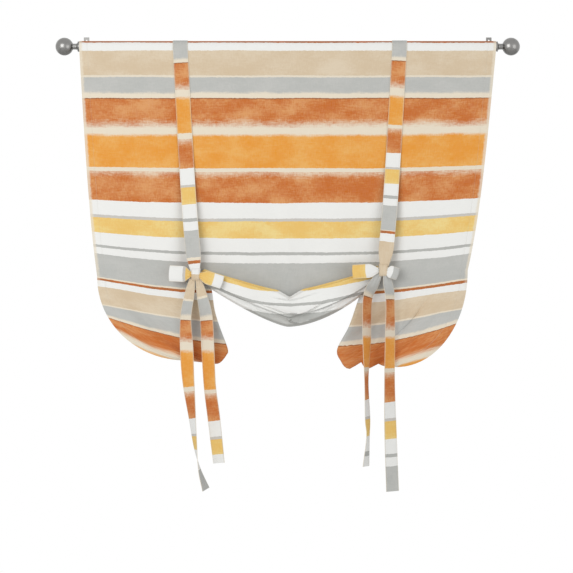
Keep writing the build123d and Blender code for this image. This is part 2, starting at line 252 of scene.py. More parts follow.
# One side of the curtain, in millimetres. Distances out are from the middle, drops are below the rod, and steps are
# from the tie. The flap's foot is steps and drops, from the hem to the tie. A fold of the flap fans out from the tie:
# its place along the foot, its width and how far it stands forward. The knot's lift is above the tie height. The
# print's rise is how much, and how steeply outwards and downwards. A row of the flap's stripes is a distance out and
# how far down each stripe starts there. A loop is its length, width and tilt. A tail is steps, drops from the knot and
# the turn of the band. A print is pairs of a distance along the band and along the stripes, and a loop's print is a
# place on the stripes, its distance from the knot and which way the stripes go.
LEFT = SimpleNamespace(
    name="left",
    sign=-1,
    tie_top_out=275.0,
    tie_out=234.0,
    edge_out=487.0,
    knot_drop=589.0,
    flap_foot=(
        (49, 800), (-6, 802), (-30, 805), (-50, 803), (-67, 783), (-70, 768), (-51, 716), (-37, 671),
        (-32, 627), (-28, 606), (-10, 600), (20, 598),
    ),
    folds=((0.10, 0.06, 7.0), (0.20, 0.04, -7.0), (0.34, 0.06, 7.0), (0.5, 0.05, -4.0)),
    swag_curve=1.3,
    hem_sweep=math.radians(85.0),
    knot_lift=5.0,
    print_rise=(37.0, 3.4, 3.4),
    flap_stripes=(
        (163, 626, 649, 704, 758, 832, 850),
        (224, 625, 648, 701, 751, 817, 835),
        (275, 622, 644, 696, 743, 796, 805),
        (352, 613, 635, 684, 725, 771, 780),
        (429, 601, 621, 670, 702, 730, 746),
        (485, 592, 613, 661, 686, 712, 727),
    ),
    loops=((68.0, 33.0, -18.0), (61.0, 40.0, 3.0)),
    front_tail=((-27, 105, 30), (-31, 187, 28), (-36, 279, 32), (-46, 360, 28), (-59, 475, 35)),
    back_tail=(
        (25, 105, 42), (23, 187, 24), (19, 263, 33), (9, 355, 58), (0, 437, 76), (-10, 493, 98), (-26, 542, 120),
    ),
    strap_print=(
        (-24, 100), (0, 108), (34, 137), (40, 147), (111, 224), (132, 243), (221, 327), (239, 339), (311, 416),
        (357, 458), (362, 465), (405, 507), (441, 542), (449, 549), (472, 570), (541, 641), (551, 647),
        (559, 655), (583, 675), (640, 725),
    ),
    loop_prints=((507.0, 51.0, 1.0), (464.0, 26.0, -1.0)),
    front_print=(
        (0, 60), (45, 90), (97, 137), (107, 147), (157, 224), (187, 243), (284, 327), (295, 339), (363, 416),
        (413, 465), (450, 507), (480, 544),
    ),
    back_print=(
        (0, 60), (53, 90), (94, 137), (105, 147), (162, 224), (186, 243), (276, 327), (290, 339), (356, 416),
        (400, 460), (437, 507), (545, 640),
    ),
)
RIGHT = SimpleNamespace(
    name="right",
    sign=1,
    tie_top_out=286.0,
    tie_out=244.0,
    edge_out=460.0,
    knot_drop=574.0,
    flap_foot=(
        (36, 818), (8, 814), (-13, 804), (-25, 816), (-37, 817), (-57, 787), (-71, 815), (-86, 815), (-98, 799),
        (-107, 769), (-76, 708), (-55, 645), (-43, 606), (-20, 588), (20, 586),
    ),
    folds=(
        (0.05, 0.04, 5.0), (0.13, 0.05, -3.5), (0.21, 0.05, 4.5), (0.28, 0.04, -5.0), (0.36, 0.04, 7.0),
        (0.5, 0.05, -4.0),
    ),
    swag_curve=1.8,
    hem_sweep=math.radians(90.0),
    knot_lift=1.0,
    print_rise=(29.0, 3.0, 2.0),
    flap_stripes=(
        (134, 629, 657, 720, 763, 852, 873),
        (185, 627, 656, 716, 759, 847, 868),
        (236, 625, 653, 712, 755, 832, 852),
        (287, 621, 647, 704, 746, 804, 813),
        (338, 615, 638, 694, 735, 787, 800),
        (389, 608, 630, 682, 721, 771, 786),
        (453, 599, 623, 671, 699, 748, 766),
    ),
    loops=((35.0, 31.0, -18.0), (73.0, 35.0, -3.5)),
    front_tail=((16, 72, 52), (16, 176, 46), (15, 291, 42), (18, 424, 30), (23, 562, 26)),
    back_tail=((-41, 72, 50), (-43, 176, 55), (-44, 280, 73), (-41, 376, 68), (-40, 422, 76), (-45, 498, 62)),
    strap_print=(
        (-24, 104), (0, 110), (29, 137), (35, 147), (106, 224), (129, 243), (201, 327), (211, 339), (272, 416),
        (311, 458), (316, 465), (352, 507), (382, 542), (390, 549), (408, 570), (471, 636), (474, 647),
        (482, 655), (502, 675), (620, 735),
    ),
    loop_prints=((569.6, 26.0, 1.0), (507.0, 47.0, -1.0)),
    front_print=(
        (0, 100), (61, 137), (67, 147), (148, 224), (166, 243), (244, 327), (256, 339), (329, 416), (424, 507),
        (462, 542), (493, 570), (565, 632),
    ),
    back_print=(
        (0, 100), (61, 137), (67, 147), (148, 224), (171, 243), (248, 327), (260, 339), (329, 416), (375, 458),
        (423, 507), (461, 542), (500, 566),
    ),
)
SIDES = (LEFT, RIGHT)

# The print on the swag: a distance across, and how far down the white stripe and the thin grey line start there,
# then the print's distance at both, and its pace above them
SWAG_STRIPES = (
    (-211, 587, 607), (-176, 596, 615), (-147, 605, 628), (-122, 612, 637), (-96, 620, 644), (-71, 624, 649),
    (-45, 626, 653), (6, 627, 656), (57, 624, 653), (83, 619, 651), (108, 616, 645), (134, 611, 640),
    (159, 606, 634), (185, 601, 628), (215, 594, 621),
)
SWAG_PLACES = (1154.0, 1188.6)
SWAG_PACE_ABOVE = 1.3

# The dip in the middle of the swag's upper edge: where it is, its reach, its depth and how pointed it is
SWAG_NOTCH = (6.0, 36.0, 15.0, 1.3)

# How much lower the stripes sag above the swag, how wide that is, from which drop and over how much
PRINT_SAG = (18.0, 120, 560, 60)

# Folds that overhang in the swag: how far they stand out, how far up they fade, and their lower edge (across, down)
SWAG_FOLDS = (
    (13.0, 10.0, (
        (-76, 656), (-66, 661), (-40, 668), (-20, 676), (1, 682), (24, 684), (44, 680), (62, 671), (83, 659),
        (98, 653),
    )),
    (13.0, 10.0, (
        (-96, 662), (-81, 668), (-58, 677), (-32, 686), (-7, 695), (16, 705), (29, 709), (47, 703), (77, 691),
        (108, 679), (134, 663),
    )),
    (7.8, 8.0, ((-107, 663), (-96, 670), (-78, 682), (-55, 694), (-45, 699))),
    (5.4, 10.0, ((-50, 638), (-25, 644), (6, 648), (31, 643), (62, 633), (83, 627))),
    (6.2, 9.0, ((62, 689), (83, 681), (108, 668), (134, 654), (159, 640), (175, 633))),
    (4.7, 8.0, ((-158, 622), (-132, 638), (-107, 649), (-76, 661))),
)
SWAG_FOLD_SWELL = 0.7
SWAG_FOLD_LIP = 2.4

# Soft creases in the hanging cloth: from and to (across, up), width, and how far they stand forward. They swell as a
# part of a half wave and keep clear of the straps. The flaps' folds are full before the foot.
PANEL_CREASES = (
    (-212, -566, -60, -592, 12, -3.0),
    (-205, -552, -40, -560, 16, 2.5),
    (226, -560, 60, -580, 9, -4.5),
    (222, -545, 40, -552, 14, 3.5),
    (-250, -575, -400, -560, 22, -2.0),
    (262, -560, 400, -540, 22, -2.0),
    (-262, -600, -420, -640, 20, 2.5),
    (270, -590, 420, -600, 20, 2.5),
)
CREASE_WAVE = (0.12, 0.95)
STRAP_CLEAR = 30
FOLD_FULL = 1.3

# The stage, in metres: the lamps and what they point at, and the camera with the width that it sees there
LAMPS = {"key": ((-2.0, -3.3, 0.45), 2.4), "fill": ((2.6, -2.8, -0.3), 2.6)}
LAMP_AIM = (0, -0.08, -0.5)
CAMERA_AIM = (-0.0031, -0.079, -0.6146)
CAMERA_LENS = 150.0
CAMERA_SENSOR = 36.0
SEEN_WIDTH = 1.4646
SEEN_DEPTH = 50.0
FLOOR_SIZE = 8.0


class ClothSettings(bpy.types.PropertyGroup):
    """Sizes of the cloth."""

    thickness: FloatProperty(
        name="Cloth thickness", description="Thickness of the panel and the ties", default=1.2 * MM, unit="LENGTH"
    )
    hem_width: FloatProperty(
        name="Hem width", description="Width of the side hems", default=0.024, unit="LENGTH"
    )
    hem_extra: FloatProperty(
        name="Hem thickness", description="What a hem adds to the cloth", default=0.7 * MM, unit="LENGTH"
    )
    crease: FloatProperty(name="Creases", description="How deep the soft creases are", default=1.0, min=0.0, max=2.0)


def screen(r, g, b):
    """A colour read from a screen, as the light that it stands for."""
    return tuple((c / 255 / 12.92) if c < 11 else ((c / 255 + 0.055) / 1.055) ** 2.4 for c in (r, g, b))


def colour(label, *rgb):
    return FloatVectorProperty(
        name=label, description=f"{label} of the printed stripes", subtype="COLOR", size=3,
        default=screen(*rgb), min=0, max=1,
    )


class PrintSettings(bpy.types.PropertyGroup):
    """Colours of the printed stripes."""

    white: colour("White", 227, 227, 224)
    cream: colour("Cream", 221, 210, 190)
    beige: colour("Beige", 202, 182, 153)
    beige_pale: colour("Pale beige", 211, 195, 170)
    grey: colour("Grey", 176, 177, 173)
    grey_pale: colour("Pale grey", 184, 184, 180)
    line_grey: colour("Grey line", 170, 170, 166)
    line_pale: colour("Pale line", 194, 189, 182)
    rust: colour("Rust", 189, 101, 29)
    rust_dark: colour("Dark rust", 162, 99, 51)
    rust_edge: colour("Rust edge", 140, 87, 45)
    rust_pale: colour("Pale rust", 210, 148, 91)
    orange: colour("Orange", 220, 144, 42)
    orange_pale: colour("Pale orange", 224, 166, 85)
    yellow: colour("Yellow", 224, 184, 100)
    yellow_pale: colour("Pale yellow", 228, 204, 134)


class MetalSettings(bpy.types.PropertyGroup):
    """Finish of the rod, its finials and brackets."""

    colour: FloatVectorProperty(
        name="Metal", description="Colour of the satin metal", subtype="COLOR", size=3, default=screen(140, 139, 137)
    )
    roughness: FloatProperty(name="Roughness", description="How dull the metal is", default=0.26, min=0, max=1)


class StageSettings(bpy.types.PropertyGroup):
    """Light and floor."""

    floor: FloatVectorProperty(
        name="Floor", description="Colour of the floor", subtype="COLOR", size=3, default=(0.82, 0.82, 0.81)
    )
    floor_drop: FloatProperty(
        name="Floor drop", description="How far the floor is below the rod", default=2.1, unit="LENGTH"
    )
    sky: FloatProperty(name="Soft light", description="Strength of the light from all round", default=0.62, min=0)
    key: FloatProperty(name="Key lamp", description="Strength of the key lamp", default=64.0, min=0)
    fill: FloatProperty(name="Fill lamp", description="Strength of the fill lamp", default=26.0, min=0)


class CurtainSettings(bpy.types.PropertyGroup):
    """Everything that can be changed."""

    cloth: PointerProperty(type=ClothSettings)
    print: PointerProperty(type=PrintSettings)
    metal: PointerProperty(type=MetalSettings)
    stage: PointerProperty(type=StageSettings)


def sums(operation):
    return lambda number, other=0.0: number.recipe.maths(operation, number, other)


class Number:
    """A changing number in a material. Sums on it add Math nodes."""

    def __init__(self, recipe, socket):
        self.recipe = recipe
        self.socket = socket

    def __rsub__(self, other):
        return self.recipe.maths("SUBTRACT", other, self)

    __add__ = __radd__ = sums("ADD")
    __sub__ = sums("SUBTRACT")
    __mul__ = __rmul__ = sums("MULTIPLY")
    __truediv__ = sums("DIVIDE")
    __mod__ = sums("FLOORED_MODULO")
    __gt__ = sums("GREATER_THAN")
    __abs__ = sums("ABSOLUTE")


class Recipe:
    """The nodes of a material or of the world."""

    def __init__(self, owner):
        owner.use_nodes = True
        self.owner = owner
        self.tree = owner.node_tree

    def node(self, kind, settings=None, **inputs):
        """A node of that kind: first its settings, then what goes into its sockets."""
        made = self.tree.nodes.new("ShaderNode" + kind)
        for name, value in (settings or {}).items():
            setattr(made, name, value)
        for name, value in inputs.items():
            self.plug(value, made.inputs[int(name[1:]) if name[1:].isdigit() else name])
        return made

    def finish(self, values):
        """Feed the shader's sockets, by their names, and give back the material."""
        for name, value in values.items():
            self.plug(value, self.tree.nodes["Principled BSDF"].inputs[name])
        return self.owner

    def plug(self, value, socket):
        if isinstance(value, Number):
            value = value.socket
        if isinstance(value, bpy.types.NodeSocket):
            self.tree.links.new(value, socket)
        else:
            socket.default_value = value

    def maths(self, operation, a, b=0.0):
        return Number(self, self.node("Math", {"operation": operation}, i0=a, i1=b).outputs[0])

    def smooth(self, value, low, high):
        made = self.node("MapRange", {"interpolation_type": "SMOOTHSTEP"}, i0=value, i1=low, i2=high)
        return Number(self, made.outputs[0])

    def mix(self, factor, a, b):
        """Colour a, or b where the factor is 1."""
        made = self.node("Mix", {"data_type": "RGBA"}, i0=factor, i6=(*a, 1) if isinstance(a, tuple) else a)
        self.plug((*b, 1) if isinstance(b, tuple) else b, made.inputs[7])
        return made.outputs[2]

    def point(self, x, y, z=0.0):
        return self.node("CombineXYZ", None, i0=x, i1=y, i2=z).outputs[0]

    def noise(self, vector, scale, detail=2.0, roughness=0.5):
        made = self.node("TexNoise", None, Vector=vector, Scale=scale, Detail=detail, Roughness=roughness)
        return Number(self, made.outputs[0])

    def ramp(self, value, stops, between="CONSTANT"):
        """Steps of colour. Each stop is where it starts, from 0 to 1, and its colour."""
        made = self.node("ValToRGB", None, Fac=value)
        made.color_ramp.interpolation = between
        elements = made.color_ramp.elements
        while len(elements) < len(stops):
            elements.new(1.0)
        for element, (place, tint) in zip(elements, stops):
            element.position = place
        for element, (place, tint) in zip(elements, stops):
            element.color = (*tint, 1)
        return made.outputs[0]

    def bump(self, height, distance, strength=1.0, normal=None):
        made = self.node("Bump", None, Strength=strength, Distance=distance, Height=height)
        if normal is not None:
            self.plug(normal, made.inputs["Normal"])
        return made.outputs[0]


def pattern(recipe, name, across, along):
    fine_across, fine_along, seed, detail, roughness = PATTERNS[name]
    return recipe.noise(recipe.point(across * fine_across, along * fine_along, seed), 1.0, detail, roughness)


def stripe_colour(recipe, tints, across, along, half_width, margin):
    """The printed stripes. Across and along are in millimetres on the flat cloth."""
    ragged, waver, stroke, fibre, patch = (
        pattern(recipe, name, across, along) for name in ("ragged", "waver", "stroke", "fibre", "patch")
    )
    wobbled = along + (ragged - 0.5) * RAGGED_EDGE + (waver - 0.5) * WAVERING_EDGE
    place = ((wobbled - REPEAT_START) % REPEAT) / REPEAT
    plain = recipe.ramp(place, [(start / REPEAT, tints[full]) for start, full, worn in STRIPES])
    worn = recipe.ramp(place, [(start / REPEAT, tints[worn]) for start, full, worn in STRIPES])
    grain = stroke * 0.5 + fibre * 0.5
    wear = recipe.smooth(grain * 0.9 + patch * 0.8, *WORN_FROM)
    printed = recipe.mix(wear, plain, worn)
    thin = Number(recipe, recipe.ramp(place, [(at / REPEAT, (bare,) * 3) for at, bare in THIN_PAINT], "LINEAR"))
    soft_grain = stroke * 0.7 + fibre * 0.3
    bald = recipe.smooth(thin + (soft_grain - 0.5) * 1.2 + (patch - 0.5) * 0.8, *BALD_FROM)
    printed = recipe.mix(bald * (thin > 0.01), printed, tints["cream"])
    edge = half_width - abs(across) + (ragged - 0.5) * margin * 0.7
    bare = 1.0 - recipe.smooth(edge, margin * 0.4, margin)
    upper = 1.0 - recipe.smooth(along, *BARE_HEM_ENDS)
    return recipe.mix(bare * upper * BARE_HEM, printed, tints["cream"])


def weave(recipe, across, along):
    """The height of the threads, with thicker and thinner ones, and these slubs alone."""
    warp = recipe.maths("SINE", across * (2 * math.pi / THREAD_PITCH))
    weft = recipe.maths("SINE", along * (2 * math.pi / THREAD_PITCH))
    slub_down, slub_across = (pattern(recipe, name, across, along) for name in ("slub_down", "slub_across"))
    return warp * weft * 0.35 + slub_down + slub_across, slub_down + slub_across


def stitches(recipe, offset, along):
    """A row of short stitches where the offset is nought: 1 on the thread."""
    row = 1.0 - recipe.smooth(abs(offset), 0.25, 0.8)
    return row * recipe.smooth(abs(along % STITCH_PITCH - STITCH_PITCH / 2), 0.5, 0.9)


def cloth_material(name, tints, half_width, margin, seam, top_seam=None, fade=0.0):
    """Printed cotton with a sewn row inside each side. Its UV map holds metres across and down the flat cloth."""
    recipe = Recipe(bpy.data.materials.new(name))
    uv = recipe.node("UVMap", {"uv_map": "cloth"}).outputs[0]
    split = recipe.node("SeparateXYZ", None, i0=uv)
    across, along = (Number(recipe, socket) * (1 / MM) for socket in split.outputs[:2])
    tint = stripe_colour(recipe, tints, across, along, half_width, margin)
    height, slub = weave(recipe, across, along)
    tint = recipe.mix(recipe.smooth(slub, 0.6, 1.4) * 0.05, tint, (1.0, 1.0, 1.0))
    rows = [(abs(across) - (half_width - seam), along)]
    if top_seam is not None:
        rows.append((along - top_seam, across))
    thread = groove = 0.0
    for offset, run in rows:
        thread = recipe.maths("MAXIMUM", thread, stitches(recipe, offset, run))
        groove = recipe.maths("MAXIMUM", groove, 1.0 - recipe.smooth(abs(offset), 0.4, 3.0))
    tint = recipe.mix(thread * 0.35, tint, screen(205, 198, 184))
    height = height - groove * 5.0 + thread * 3.0
    if fade:
        tint = recipe.mix(fade, tint, screen(226, 222, 212))
    soft = recipe.bump(pattern(recipe, "rumple", across, along), 2.2 * MM, 0.5)
    return recipe.finish({
        "Base Color": tint,
        "Roughness": 0.86 + slub * 0.04,
        "Normal": recipe.bump(height, 0.10 * MM, 0.7, soft),
        "Specular IOR Level": 0.14,
        "Sheen Weight": 0.05,
        "Sheen Roughness": 0.6,
    })


def metal_material(name, tint, roughness, grain):
    """Satin metal with fine lines: round the rod where it was turned, along the strip where it was pressed."""
    recipe = Recipe(bpy.data.materials.new(name))
    place = recipe.node("TexCoord").outputs["Object"]
    split = recipe.node("SeparateXYZ", None, i0=place)
    fine = (Number(recipe, socket) * per_metre for socket, per_metre in zip(split.outputs, grain))
    lines = recipe.noise(recipe.point(*fine), 1.0)
    cloudy = recipe.noise(place, 60.0, 3.0)
    return recipe.finish({
        "Base Color": recipe.mix(recipe.smooth(cloudy, 0.3, 0.75) * 0.35, tint, tuple(c * 0.72 for c in tint)),
        "Roughness": roughness - 0.05 + cloudy * 0.1 + lines * 0.08,
        "Normal": recipe.bump(lines, 0.03 * MM, 0.35),
        "Metallic": 1.0,
    })


def mix(a, b, t):
    return a + (b - a) * t


def ease(t):
    t = min(max(t, 0.0), 1.0)
    return t * t * (3 - 2 * t)


def run_along(path):
    """How far along a path each of its points is. A point may have more than its three places."""
    steps = np.linalg.norm(np.diff(path[:, :3], axis=0), axis=1)
    return np.concatenate([[0], np.cumsum(steps)])


def smooth_through(marks, count):
    """Points on a smooth curve through the marks, evenly spaced along it. A mark is any tuple of numbers."""
    marks = np.array(marks, float)
    padded = np.vstack([2 * marks[0] - marks[1], marks, 2 * marks[-1] - marks[-2]])
    fine = []
    for i in range(len(marks) - 1):
        p0, p1, p2, p3 = padded[i : i + 4]
        for t in np.arange(0, 1, 1 / CURVE_STEPS):
            bend = (2 * p0 - 5 * p1 + 4 * p2 - p3) * t**2 + (3 * p1 - p0 - 3 * p2 + p3) * t**3
            fine.append(0.5 * (2 * p1 + (p2 - p0) * t + bend))
    fine = np.array([*fine, marks[-1]])
    length = run_along(fine)
    at = np.linspace(0, length[-1], count)
    return np.stack([np.interp(at, length, column) for column in fine.T], axis=1)


def pocket_r(settings):
    return ROD_R + CLOTH_GAP + settings.cloth.thickness / MM / 2


def front_y(settings):
    return -ROD_PROJECTION - pocket_r(settings)


def drawn_in(f):
    f = min(f, 1.0)
    return EARLY_DRAW * f + (1 - EARLY_DRAW) * f**LATE_DRAW


def dent_at(side, out):
    return TIE_DENT * math.exp(-(((out - side.tie_out) / TIE_DENT_WIDTH) ** 2))


# One line of the cloth from top to bottom: where it starts and passes the tie height, how it turns there, and how it
# falls, is pleated and sweeps inwards below that.
@dataclass
class Station:
    side: SimpleNamespace
    out: float
    top_out: float
    tie_drop: float
    drop: float
    turn: float
    fall: float
    gaps: tuple
    fold_r: float = BUNCH_FOLD_R
    inward: float = 0.0
    foot: float = 1.0
    swag: float = 0.0
    sweep: float = 0.3

    @property
    def length(self):
        return math.hypot(self.inward, self.fall)


def flap_stations(side):
    foot = smooth_through([(step, -drop) for step, drop in side.flap_foot], FLAP_LINES)
    start = side.tie_out + BUNCH_HALF_WIDTH
    found = []
    for i, (step, height) in enumerate(foot):
        t = i / (FLAP_LINES - 1)
        out = mix(side.edge_out, start, 1 - (1 - t) ** FLAP_CROWDING)
        bunched = ease((t - FLAP_BUNCH_FROM) / (1 - FLAP_BUNCH_FROM))
        found.append(
            Station(
                side=side,
                out=out,
                top_out=mix(side.tie_top_out, HALF_WIDTH, (out - side.tie_out) / (side.edge_out - side.tie_out)),
                tie_drop=side.knot_drop,
                drop=side.knot_drop,
                turn=0.0,
                inward=out - (side.tie_out + step),
                fall=-height - side.knot_drop,
                gaps=tuple(mix(gap, BUNCH_PLEAT_GAP, bunched) for gap in FLAP_PLEAT_GAPS),
                foot=t,
                sweep=mix(side.hem_sweep, INNER_SWEEP, ease(t / INNER_FROM)),
            )
        )
    return found


def bunch_stations(side):
    found = []
    marks = smooth_through(BUNCH_MARKS, BUNCH_LINES * (len(BUNCH_MARKS) - 1) + 1)
    for step, turn in marks[1:-1]:
        opened = ease((abs(step) - BUNCH_SHOULDER) / (BUNCH_HALF_WIDTH - BUNCH_SHOULDER))
        next_drop = side.knot_drop
        depth = BUNCH_DEPTH
        if step <= 0:
            next_drop = SWAG_LOW_DROP - SWAG_LOW_RISE - BUNCH_FOLD_R
        if step < 0:
            tucked = mix(BUNCH_DEPTH, BUNCH_TUCK, ease((abs(step) - BUNCH_CORE) / (BUNCH_SHOULDER - BUNCH_CORE)))
            depth = mix(tucked, SWAG_TOP_RISE - SWAG_LOW_RISE + SWAG_LOW_DROP - SWAG_TOP_DROP, opened)
        found.append(
            Station(
                side=side,
                out=side.tie_out + step,
                top_out=side.tie_top_out + step,
                tie_drop=side.knot_drop,
                drop=mix(side.knot_drop - BUNCH_RISE, next_drop, opened),
                turn=min(max(turn, 0.0), 180.0),
                fall=depth,
                gaps=(BUNCH_PLEAT_GAP,) * 3,
                swag=ease(0.5 - step / BUNCH_HALF_WIDTH),
            )
        )
    return found


def swag_stations(side):
    reach = side.tie_out - BUNCH_HALF_WIDTH
    middle, notch_reach, notch_depth, notch_point = SWAG_NOTCH
    found = []
    for i in range(SWAG_LINES):
        t = i / (SWAG_LINES - 1)
        share = 1 - t
        low = SWAG_LOW_DROP - SWAG_LOW_RISE * share**side.swag_curve
        top = SWAG_TOP_DROP - SWAG_TOP_RISE * share**SWAG_TOP_CURVE
        near = max(0.0, 1 - abs(side.sign * reach * share - middle) / notch_reach)
        top += notch_depth * near**notch_point
        opened = ease(t / SWAG_OPEN_BY)
        fold_r = mix(BUNCH_FOLD_R, SWAG_FOLD_R, opened)
        found.append(
            Station(
                side=side,
                out=reach * share,
                top_out=side.tie_top_out * reach * share / side.tie_out,
                tie_drop=mix(side.knot_drop, MIDDLE_TIE_DROP, ease(t)),
                drop=low - fold_r,
                fold_r=fold_r,
                turn=180.0,
                fall=low - top,
                gaps=tuple(mix(BUNCH_PLEAT_GAP, gap, opened) for gap in SWAG_PLEAT_GAPS),
                swag=1.0,
            )
        )
    return found


def pleat_points(station):
    """The pleats of one line, flattened out: distances along them, and steps from one pleat to the next."""
    points = []
    step = 0.0
    for index, ((start, end), samples) in enumerate(zip(PLEAT_SPANS, PLEAT_POINTS)):
        for i in range(samples):
            points.append((station.length * mix(start, end, (i + 0.5) / samples), step, index))
        if index < len(station.gaps):
            r = station.gaps[index] / 2
            for i in range(FOLD_POINTS + 1):
                a = math.pi * i / FOLD_POINTS
                along = station.length * end + math.copysign(r, end - start) * math.sin(a)
                points.append((along, step + r * (1 - math.cos(a)), index))
            step += station.gaps[index]
    points.append((station.length * end, step, index))
    return points


def crease(x, z):
    """How far the soft creases push a point of the cloth forward."""
    push = 0.0
    for x0, z0, x1, z1, width, depth in PANEL_CREASES:
        dx, dz = x1 - x0, z1 - z0
        t = min(max(((x - x0) * dx + (z - z0) * dz) / (dx * dx + dz * dz), 0.0), 1.0)
        away = (x - x0 - t * dx) ** 2 + (z - z0 - t * dz) ** 2
        push += depth * math.exp(-away / width**2) * math.sin(math.pi * mix(*CREASE_WAVE, t))
    return push


def overhang(x, z):
    """How far the folds of the swag stand out at a point. Each ends in a sharp lower edge."""
    push = 0.0
    for depth, fade_up, edge in SWAG_FOLDS:
        edge_x, edge_drop = zip(*edge)
        if edge_x[0] < x < edge_x[-1]:
            above = z + np.interp(x, edge_x, edge_drop)
            swell = math.sin(math.pi * (x - edge_x[0]) / (edge_x[-1] - edge_x[0])) ** SWAG_FOLD_SWELL * depth
            push += swell * (math.exp(-above / fade_up) if above > 0 else ease(1 + above / SWAG_FOLD_LIP))
    return push


def main_y(settings, station, drop):
    f = min(drop / station.tie_drop, 1.0)
    dent = dent_at(station.side, station.out)
    wave = WAVE_DEPTH * math.sin(2 * math.pi * station.top_out / WAVE_LENGTH)
    return front_y(settings) + (dent + wave * (1 - dent / TIE_DENT)) * f**2


def print_rise(station, drop):
    """How much higher the stripes hang towards the side hems, and how much lower in the middle above the swag."""
    side = station.side
    f = min(drop / station.tie_drop, 1.0)
    rise, outward, downward = side.print_rise
    depth, width, start, run = PRINT_SAG
    sag = depth * math.exp(-((station.out / width) ** 2)) * ease((drop - start) / run)
    return rise * (station.out / side.edge_out) ** outward * f**downward - sag


def table_columns(rows, out):
    """The values of a table's rows at distances out, one column after the other."""
    columns = np.array(rows, float).T
    return [np.interp(out, columns[0], column) for column in columns[1:]]


def flap_print(side, points, start):
    """The print's distance at points of a flap, from the stripes' heights there."""
    drops = np.stack(table_columns(side.flap_stripes, side.sign * points[:, 0]), axis=1)
    places = np.array(FLAP_PLACES) + REPEAT_START
    strip = len(places) - 3
    strip_place = places[strip] - FLAP_STRIP_PRINT
    places = [start, *places[:strip], strip_place, *places[strip:], places[-1] + FLAP_PRINT_BELOW]
    found = []
    for point, row in zip(points, drops):
        heights = [-points[0, 2], *row[:strip], row[strip] - FLAP_STRIP, *row[strip:], row[-1] + FLAP_DROP_BELOW]
        found.append(np.interp(-point[2], heights, places))
    return np.array(found)


def swag_print(points):
    """The print's distance at points of the swag."""
    white, line = table_columns(SWAG_STRIPES, points[:, 0])
    white_place, line_place = SWAG_PLACES
    drop = -points[:, 2]
    between = mix(white_place, line_place, (drop - white) / (line - white))
    found = np.where(drop < white, white_place - SWAG_PACE_ABOVE * (white - drop), between)
    return np.where(drop > line, line_place + drop - line, found) + REPEAT_START


def cloth_line(settings, station):
    """Points down one line of the panel, with the print's distance at each, and the swag's own print."""
    side, sign, creased = station.side, station.side.sign, settings.cloth.crease
    radius = pocket_r(settings)
    back_out = min(station.top_out, HALF_WIDTH - POCKET_END_INSET)
    points, printed = [], []
    for drop in (POCKET_DEPTH, POCKET_DEPTH / 2):
        points.append((sign * back_out, -ROD_PROJECTION + radius, -drop))
        printed.append(-drop - radius)
    for i in range(POCKET_POINTS + 1):
        a = math.pi * i / POCKET_POINTS
        out = mix(back_out, station.top_out, ease(2 * i / POCKET_POINTS))
        z = radius * math.sin(a)
        points.append((sign * out, -ROD_PROJECTION + radius * math.cos(a), z))
        printed.append((radius - z) * (1 if 2 * i > POCKET_POINTS else -1))
    for i in range(1, DROP_POINTS + 1):
        drop = station.drop * i / DROP_POINTS
        out = mix(station.top_out, station.out, drawn_in(drop / station.tie_drop))
        strap = mix(side.tie_top_out, side.tie_out, drawn_in(drop / side.knot_drop))
        clear = 1 - math.exp(-(((out - strap) / STRAP_CLEAR) ** 4))
        push = creased * crease(sign * out, -drop) * clear
        points.append((sign * out, main_y(settings, station, drop) - push, -drop))
        printed.append(radius + drop + print_rise(station, drop))
    split = len(points)
    turn = math.radians(station.turn)
    front = points[-1][1]
    straight = FOLD_RUN * (1 - station.turn / 180)
    for i in range(1, TURN_POINTS + 1):
        a = turn * i / TURN_POINTS
        down = station.drop + station.fold_r * math.sin(a) + straight * i / TURN_POINTS
        points.append((sign * station.out, front - station.fold_r * (1 - math.cos(a)), -down))
    start = points[-1]
    for along, n, layer in pleat_points(station):
        share = along / station.length
        bend = station.sweep * share
        x = sign * (station.out - station.inward * (1 - math.cos(bend)) / (1 - math.cos(station.sweep)))
        fall = station.fall * (math.sin(bend) / math.sin(station.sweep) if station.turn == 0 else share)
        push = 0.0
        if station.turn == 0 and layer == 0:
            for place, width, depth in side.folds:
                push += depth * math.exp(-(((station.foot - place) / width) ** 2)) * ease(share * FOLD_FULL)
        z = start[2] - n * math.sin(turn) - fall * math.cos(turn)
        if station.turn == 180:
            push = overhang(x, z)
        points.append((x, start[1] + n * math.cos(turn) - fall * math.sin(turn) - push * creased, z))
    points = np.array(points)
    plain = np.concatenate([printed, flap_print(side, points[split - 1 :], printed[-1])[1:]])
    return points, plain, swag_print(points), split


def panel_arrays(settings):
    """The panel's middle surface, its print on the hanging part and on the swag, and where the swag starts."""
    left, right = (flap_stations(side) + bunch_stations(side) + swag_stations(side) for side in SIDES)
    stations = left + right[::-1][1:]
    middle, plain, gathered, splits = zip(*(cloth_line(settings, station) for station in stations))
    swags = [station.swag for station in stations]
    flat = [station.side.sign * station.top_out for station in stations]
    return *(np.array(values) for values in (middle, plain, gathered, swags, flat)), splits[0]


@dataclass
class Layer:
    """One closed sheet: both faces of the cloth, UV values for each corner, and a material for each cell."""

    front: np.ndarray
    back: np.ndarray
    uv: np.ndarray
    material: np.ndarray


def cell_corners(uv):
    return np.stack([uv[:-1, :-1], uv[:-1, 1:], uv[1:, 1:], uv[1:, :-1]], axis=2)


def sheet_layer(middle, half, uv, back_extra=0.0):
    """The two faces of a cloth of that thickness round its middle surface. uv has one value for each point."""
    across = np.gradient(middle, axis=0)
    normal = np.cross(np.gradient(middle, axis=1), across)
    normal /= np.maximum(np.linalg.norm(normal, axis=2, keepdims=True), 1e-9)
    material = np.zeros((2, middle.shape[0] - 1, middle.shape[1] - 1), int)
    return Layer(middle + normal * half, middle - normal * (half + back_extra), cell_corners(uv), material)


